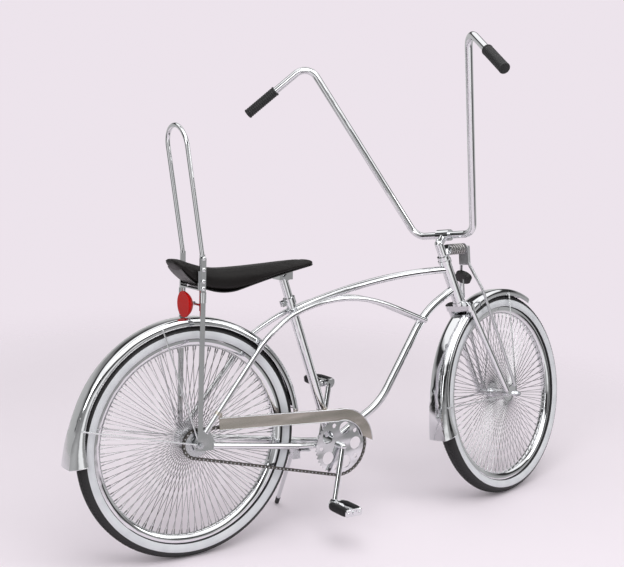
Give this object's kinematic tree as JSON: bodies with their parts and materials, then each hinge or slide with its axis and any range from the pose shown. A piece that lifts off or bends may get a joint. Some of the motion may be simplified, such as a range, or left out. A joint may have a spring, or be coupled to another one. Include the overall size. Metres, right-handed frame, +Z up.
{
  "type": "beach cruiser bicycle",
  "caption": "Lowrider beach cruiser bicycle with a springer fork, tall wide handlebar, banana seat with a back bar, flared fenders and whitewall tyres, leaning on its side stand.",
  "frame": {"origin": "centre of the bounding box's base, on the ground under the leaning bicycle", "axes": "+X forwards, +Y to the bicycle's left, the side it leans to and the stand is on, +Z up"},
  "size_m": [1.8417, 0.9494, 1.4886],
  "materials": {
    "chrome": "polished chrome plate",
    "tyre": "matt black rubber with a wide off-white side band",
    "black_rubber": "matt black rubber",
    "black_vinyl": "satin black vinyl",
    "black_steel": "black paint",
    "chain_steel": "chromed chain links",
    "plated_steel": "bright zinc plate",
    "red_plastic": "clear red reflector plastic",
    "black_plastic": "black reflector back"
  },
  "bodies": {
    "frame": {"head_tube": "chrome", "bottom_bracket_shell": "chrome", "seat_tube": "chrome", "top_tube": "chrome", "down_tube": "chrome", "cantilever_left": "chrome", "cantilever_right": "chrome", "chainstay_left": "chrome", "chainstay_right": "chrome", "head_cups": "chrome", "bottom_bracket_cups": "chrome", "seat_post": "chrome", "seat_collar": "chrome", "seat_pad": "black_vinyl", "seat_pan": "black_steel", "back_bar": "chrome", "seat_struts": "chrome", "seat_bracket": "chrome", "seat_clamp": "chrome", "tail_reflector": "red_plastic", "reflector_bar": "chrome", "rear_axle": "plated_steel", "chain": "chain_steel", "chain_guard": "chrome", "brake_arm": "plated_steel", "rear_fender": "chrome", "rear_fender_braces": "chrome", "stand_bracket": "plated_steel"},
    "steering": {"fork_crown": "chrome", "fork_legs": "chrome", "spring_rods": "chrome", "rockers": "chrome", "spring_perch": "chrome", "fork_spring": "chrome", "stem": "chrome", "handlebar": "chrome", "grips": "black_rubber", "front_axle": "plated_steel", "front_fender": "chrome", "front_fender_braces": "chrome", "front_reflector": "black_plastic", "reflector_strap": "chrome"},
    "front_wheel": {"front_tyre": "tyre", "front_rim": "chrome", "front_hub": "chrome"},
    "rear_wheel": {"rear_tyre": "tyre", "rear_rim": "chrome", "rear_hub": "chrome"},
    "driver": {"rear_cog": "plated_steel"},
    "crank": {"crank": "chrome", "chainring": "chrome", "pedal_spindle_left": "chrome", "pedal_spindle_right": "chrome"},
    "pedal_left": {"pedal_cage_left": "chrome", "pedal_blocks_left": "black_rubber"},
    "pedal_right": {"pedal_cage_right": "chrome", "pedal_blocks_right": "black_rubber"},
    "kickstand": {"kickstand": "chrome", "kickstand_tip": "black_rubber"}
  },
  "joints": [
    {"name": "steering", "type": "hinge", "parent": "frame", "child": "steering", "pos_m": [0.55186, -0.11325, 0.30235], "axis": [-0.4043, 0.1271, 0.9057], "range_deg": [-75, 45]},
    {"name": "front_wheel_spin", "type": "hinge", "parent": "steering", "child": "front_wheel", "pos_m": [0.59956, -0.09645, 0.32129], "axis": [-0.2371, 0.9419, -0.238], "continuous": true},
    {"name": "rear_wheel_spin", "type": "hinge", "parent": "frame", "child": "rear_wheel", "pos_m": [-0.55874, -0.11019, 0.3271], "axis": [-0.0004, 0.9903, -0.1392], "continuous": true},
    {"name": "crank_spin", "type": "hinge", "parent": "frame", "child": "crank", "pos_m": [-0.08405, -0.12007, 0.25551], "axis": [-0.0004, 0.9903, -0.1392], "continuous": true},
    {"name": "driver_spin", "type": "hinge", "parent": "frame", "child": "driver", "pos_m": [-0.55874, -0.11019, 0.3271], "axis": [-0.0004, 0.9903, -0.1392], "continuous": true},
    {"name": "pedal_left_spin", "type": "hinge", "parent": "crank", "child": "pedal_left", "pos_m": [-0.03598, -0.01094, 0.39955], "axis": [-0.0004, 0.9903, -0.1392], "continuous": true},
    {"name": "pedal_right_spin", "type": "hinge", "parent": "crank", "child": "pedal_right", "pos_m": [-0.13213, -0.2292, 0.11147], "axis": [-0.0004, 0.9903, -0.1392], "continuous": true},
    {"name": "kickstand_fold", "type": "hinge", "parent": "frame", "child": "kickstand", "pos_m": [-0.20613, -0.09398, 0.22592], "axis": [0.2062, 0.8213, 0.5319], "range_deg": [0, 100.4]}
  ],
  "couplings": [
    {"joint": "driver_spin", "follows": "crank_spin", "ratio": 2.2}
  ]
}
